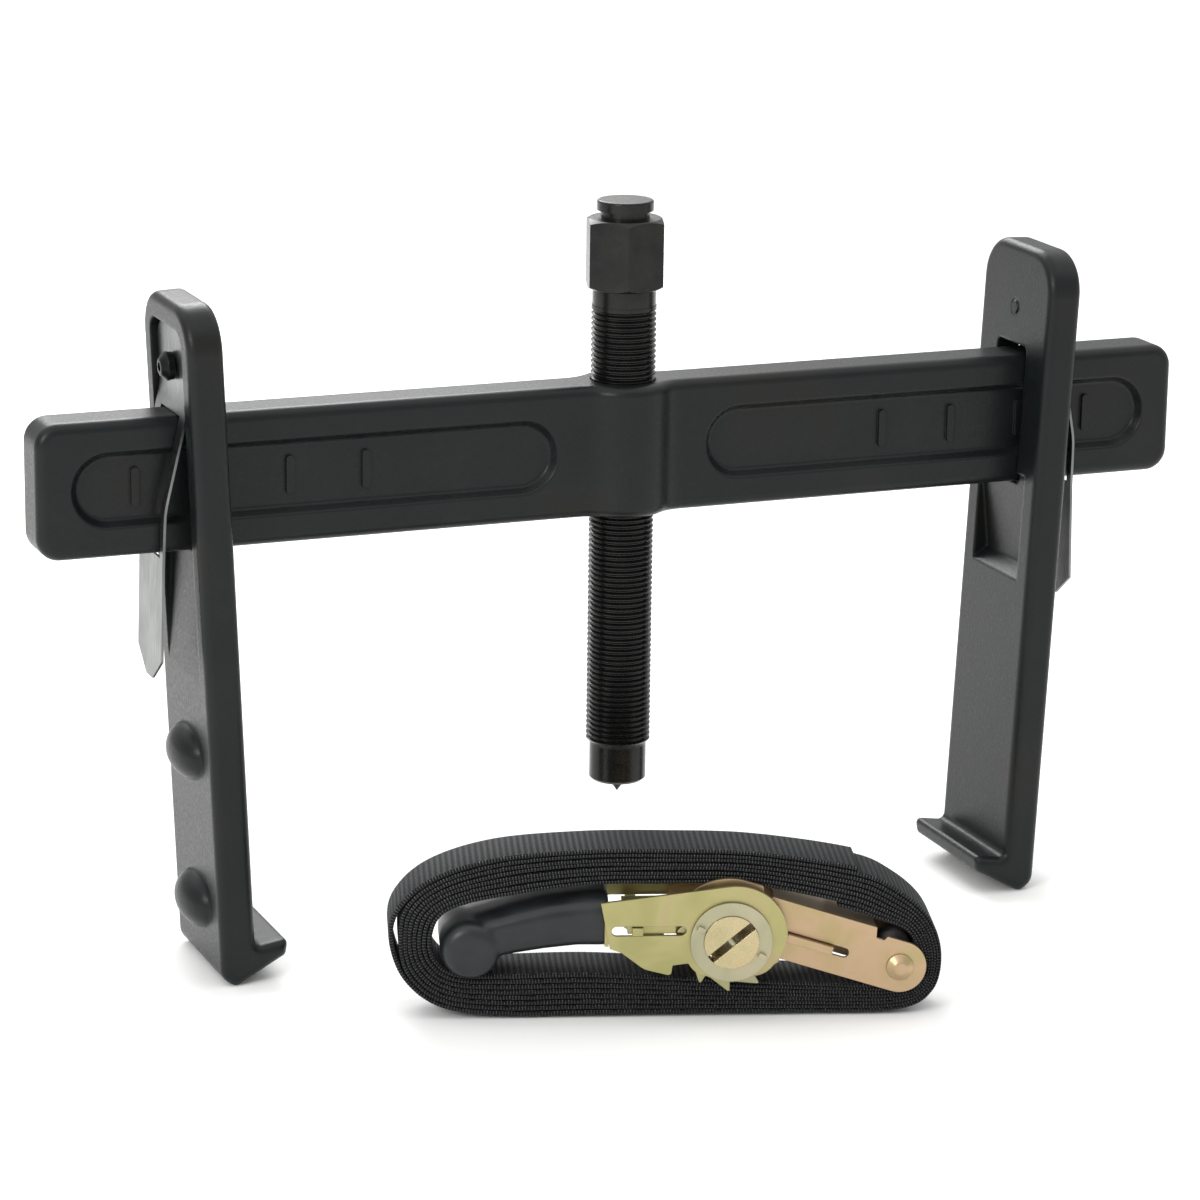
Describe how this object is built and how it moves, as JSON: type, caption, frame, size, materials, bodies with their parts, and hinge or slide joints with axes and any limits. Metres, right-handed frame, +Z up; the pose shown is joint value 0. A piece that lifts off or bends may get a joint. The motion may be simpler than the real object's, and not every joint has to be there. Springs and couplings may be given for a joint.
{
  "type": "brake drum puller",
  "caption": "Two-jaw puller: sliding hook jaws with spring plates on a forged bar, central forcing screw, and a holding strap wound round its ratchet buckle.",
  "frame": {"origin": "centre of the bounding box's base; the puller's jaws and the wound strap stand on the floor at z = 0", "axes": "+X along the cross bar, +Y to the rear, away from the strap, +Z up along the forcing screw"},
  "size_m": [0.4746, 0.1782, 0.2905],
  "materials": {
    "black_forging": "satin black paint over a forged surface",
    "black_screw": "oiled black oxide",
    "turned_steel": "turned",
    "spring_steel": "satin rolled",
    "black_fastener": "black oxide",
    "black_webbing": "ribbed woven",
    "yellow_zinc": "yellow zinc plate",
    "pale_zinc": "clear zinc plate",
    "black_vinyl": "dipped matte vinyl"
  },
  "bodies": {
    "bar": {"cross_bar": "black_forging"},
    "screw_travel": {"screw_point": "turned_steel"},
    "screw": {"forcing_screw": "black_screw"},
    "right_jaw_slide": {"right_jaw": "black_forging", "right_plate_screw": "black_fastener", "right_lock_washer": "black_fastener"},
    "right_plate": {"right_spring_plate": "spring_steel"},
    "left_jaw_slide": {"left_jaw": "black_forging", "left_plate_screw": "black_fastener", "left_lock_washer": "black_fastener"},
    "left_plate": {"left_spring_plate": "spring_steel"},
    "strap": {"base_frame": "yellow_zinc", "end_rivet": "yellow_zinc", "rivet_sleeve": "yellow_zinc", "anchor_loop": "black_webbing", "strap_webbing": "black_webbing", "lock_pawl_spring": "spring_steel"},
    "ratchet_handle": {"handle_frame": "yellow_zinc", "handle_grip": "black_vinyl", "drive_pawl_spring": "spring_steel"},
    "spindle": {"upper_spindle_half": "yellow_zinc", "lower_spindle_half": "yellow_zinc", "front_ratchet_wheel": "yellow_zinc", "rear_ratchet_wheel": "yellow_zinc", "front_ring_washer": "pale_zinc", "rear_ring_washer": "pale_zinc", "front_split_pin": "pale_zinc", "rear_split_pin": "pale_zinc"},
    "driving_pawl": {"drive_pawl": "yellow_zinc"},
    "locking_pawl": {"lock_pawl": "yellow_zinc"}
  },
  "joints": [
    {"name": "screw_feed", "type": "slide", "parent": "bar", "child": "screw_travel", "axis": [0, 0, -1], "range_m": [-0.09, 0.034]},
    {"name": "screw_turn", "type": "hinge", "parent": "screw_travel", "child": "screw", "pos_m": [0, 0.0591, 0.2], "axis": [0, 0, -1], "range_deg": [-15300, 5780]},
    {"name": "right_jaw_travel", "type": "slide", "parent": "bar", "child": "right_jaw_slide", "axis": [1, 0, 0], "range_m": [-0.11, 0.03]},
    {"name": "left_jaw_travel", "type": "slide", "parent": "bar", "child": "left_jaw_slide", "axis": [-1, 0, 0], "range_m": [-0.11, 0.03]},
    {"name": "right_plate_press", "type": "hinge", "parent": "right_jaw_slide", "child": "right_plate", "pos_m": [0.18087, 0.0591, 0.23743], "axis": [0, 1, 0], "range_deg": [0, 4], "stiffness_Nm_per_rad": 2, "springref_deg": -5.73},
    {"name": "left_plate_press", "type": "hinge", "parent": "left_jaw_slide", "child": "left_plate", "pos_m": [-0.18087, 0.0591, 0.23743], "axis": [0, -1, 0], "range_deg": [0, 4], "stiffness_Nm_per_rad": 2, "springref_deg": -5.73},
    {"name": "strap_lift", "type": "slide", "parent": "bar", "child": "strap", "axis": [0, 0, 1], "range_m": [0, 0.3]},
    {"name": "handle_swing", "type": "hinge", "parent": "strap", "child": "ratchet_handle", "pos_m": [-0.00031, -0.05207, 0.0324], "axis": [0.3074, 0.9516, 0], "range_deg": [0, 150], "deforming": ["strap_webbing"]},
    {"name": "spindle_turn", "type": "hinge", "parent": "strap", "child": "spindle", "pos_m": [-0.00031, -0.05207, 0.0324], "axis": [0.3074, 0.9516, 0], "continuous": true},
    {"name": "drive_pawl_pull", "type": "slide", "parent": "ratchet_handle", "child": "driving_pawl", "axis": [-0.9516, 0.3074, 0], "range_m": [0, 0.004], "stiffness_N_per_m": 300, "springref_m": -0.004, "deforming": ["drive_pawl_spring"]},
    {"name": "lock_pawl_pull", "type": "slide", "parent": "strap", "child": "locking_pawl", "axis": [0.9076, -0.2931, -0.3007], "range_m": [0, 0.004], "stiffness_N_per_m": 300, "springref_m": -0.004, "deforming": ["lock_pawl_spring"]}
  ],
  "couplings": [
    {"joint": "screw_feed", "follows": "screw_turn", "m_per_rad": 0.00033688}
  ]
}
